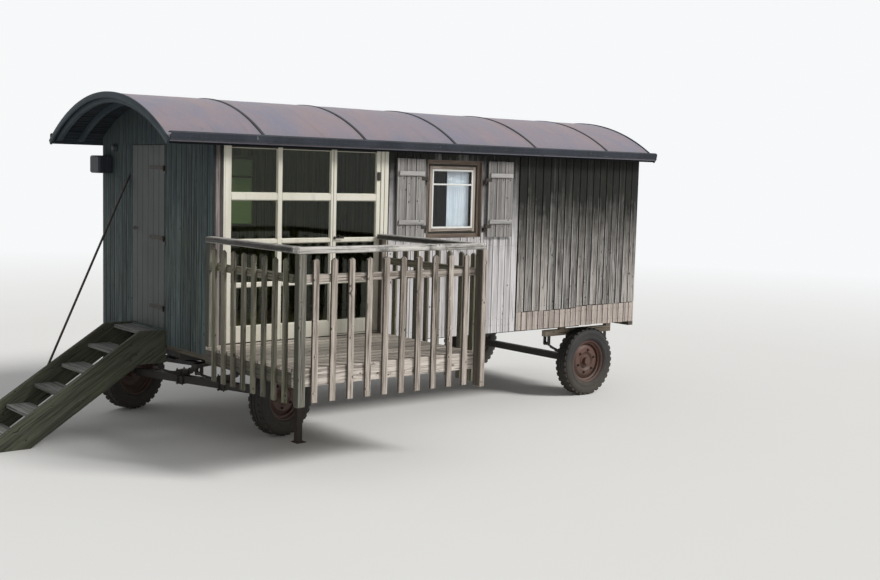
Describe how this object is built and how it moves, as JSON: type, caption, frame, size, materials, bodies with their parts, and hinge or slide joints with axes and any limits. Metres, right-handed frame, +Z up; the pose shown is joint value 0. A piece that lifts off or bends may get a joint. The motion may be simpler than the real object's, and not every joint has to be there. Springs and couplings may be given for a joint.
{
  "type": "shepherds hut on wheels",
  "caption": "Boarded living hut on rubber-tyred wheels with a barrel roof, a glazed bay onto a picketed deck, board shutters and a plank stair to its end door.",
  "frame": {"origin": "centre of the footprint box on the ground", "axes": "+X along the body away from the entrance stair, -Y towards the deck, +Z up"},
  "size_m": [8.0496, 4.33, 3.42],
  "materials": {
    "steel": "dark weathered paint on rolled steel",
    "prop_steel": "rusted dark steel",
    "rim_paint": "faded red-brown paint",
    "tyre_rubber": "dusty black rubber",
    "timber": "rough sawn bearers",
    "floorboards": "worn floorboards",
    "front_boards": "weathered grey-brown boards",
    "end_boards": "weathered blue-grey boards",
    "roof_sheet": "purplish brown-grey roof sheet",
    "edge_boards": "blue-black painted boards",
    "cream_paint": "cream paint, worn at the edges",
    "white_paint": "white window paint",
    "pane_glass": "clear window glass",
    "door_paint": "dark painted boards",
    "shutter_boards": "silver-grey boards",
    "fitting_metal": "dark painted metal",
    "deck_timber": "pale grey deck boards",
    "picket_timber": "grey-brown pickets",
    "rail_timber": "bleached handrail with black lichen",
    "hinge_iron": "rusted dark iron",
    "curtain_cloth": "thin bluish-white cotton",
    "stair_timber": "dark grey-brown planks"
  },
  "bodies": {
    "hut": {"chassis_beams": "steel", "chassis_crossbars": "steel", "floor_bearers": "timber", "cabin_floor": "floorboards", "front_wall_left": "front_boards", "front_wall_right": "front_boards", "end_wall_near": "end_boards", "end_wall_far": "end_boards", "end_wall_arch": "end_boards", "rear_end_wall": "front_boards", "back_wall": "front_boards", "roof": "roof_sheet", "roof_bows": "edge_boards", "arched_boards": "edge_boards", "eave_boards": "edge_boards", "bay_frame": "cream_paint", "window_glass": "pane_glass", "window_frames": "white_paint", "door_frame": "door_paint", "porch_fittings": "fitting_metal", "deck_boards": "deck_timber", "deck_fascia": "picket_timber", "deck_joists": "timber", "deck_posts": "picket_timber", "railing_front": "picket_timber", "railing_sides": "picket_timber", "handrails": "rail_timber", "deck_prop": "prop_steel", "stair_stringers": "stair_timber", "stair_treads": "stair_timber", "stair_hand_rod": "fitting_metal", "hinge_pins": "hinge_iron", "window_curtains": "curtain_cloth", "spring_beams": "timber", "rear_axle": "steel"},
    "entrance_door": {"entrance_door": "door_paint"},
    "deck_door": {"deck_door": "cream_paint", "deck_door_glass": "pane_glass"},
    "shutter_left": {"shutter_left": "shutter_boards"},
    "shutter_right": {"shutter_right": "shutter_boards"},
    "front_axle": {"front_axle": "steel"},
    "wheel_front_near": {"tyre_front_near": "tyre_rubber", "rim_front_near": "rim_paint"},
    "wheel_front_far": {"tyre_front_far": "tyre_rubber", "rim_front_far": "rim_paint"},
    "wheel_rear_near": {"tyre_rear_near": "tyre_rubber", "rim_rear_near": "rim_paint"},
    "wheel_rear_far": {"tyre_rear_far": "tyre_rubber", "rim_rear_far": "rim_paint"}
  },
  "joints": [
    {"name": "entrance_door_swing", "type": "hinge", "parent": "hut", "child": "entrance_door", "pos_m": [-2.13322, 0.481, 2], "axis": [0, 0, 1], "range_deg": [0, 100]},
    {"name": "deck_door_swing", "type": "hinge", "parent": "hut", "child": "deck_door", "pos_m": [-0.14522, -0.4537, 2], "axis": [0, 0, -1], "range_deg": [0, 95]},
    {"name": "shutter_left_swing", "type": "hinge", "parent": "hut", "child": "shutter_left", "pos_m": [0.44378, -0.546, 2.4], "axis": [0, 0, 1], "range_deg": [0, 178]},
    {"name": "shutter_right_swing", "type": "hinge", "parent": "hut", "child": "shutter_right", "pos_m": [1.28778, -0.546, 2.4], "axis": [0, 0, -1], "range_deg": [0, 178]},
    {"name": "front_axle_steer", "type": "hinge", "parent": "hut", "child": "front_axle", "pos_m": [-1.53222, 0.728, 0.7], "axis": [0, 0, 1], "range_deg": [-48, 12]},
    {"name": "wheel_front_near_spin", "type": "hinge", "parent": "front_axle", "child": "wheel_front_near", "pos_m": [-1.19755, -0.30199, 0.42], "axis": [-0.309, 0.9511, 0], "continuous": true},
    {"name": "wheel_front_far_spin", "type": "hinge", "parent": "front_axle", "child": "wheel_front_far", "pos_m": [-1.86688, 1.75799, 0.42], "axis": [-0.309, 0.9511, 0], "continuous": true},
    {"name": "wheel_rear_near_spin", "type": "hinge", "parent": "hut", "child": "wheel_rear_near", "pos_m": [3.18278, -0.355, 0.42], "axis": [0, 1, 0], "continuous": true},
    {"name": "wheel_rear_far_spin", "type": "hinge", "parent": "hut", "child": "wheel_rear_far", "pos_m": [3.18278, 1.811, 0.42], "axis": [0, 1, 0], "continuous": true}
  ]
}
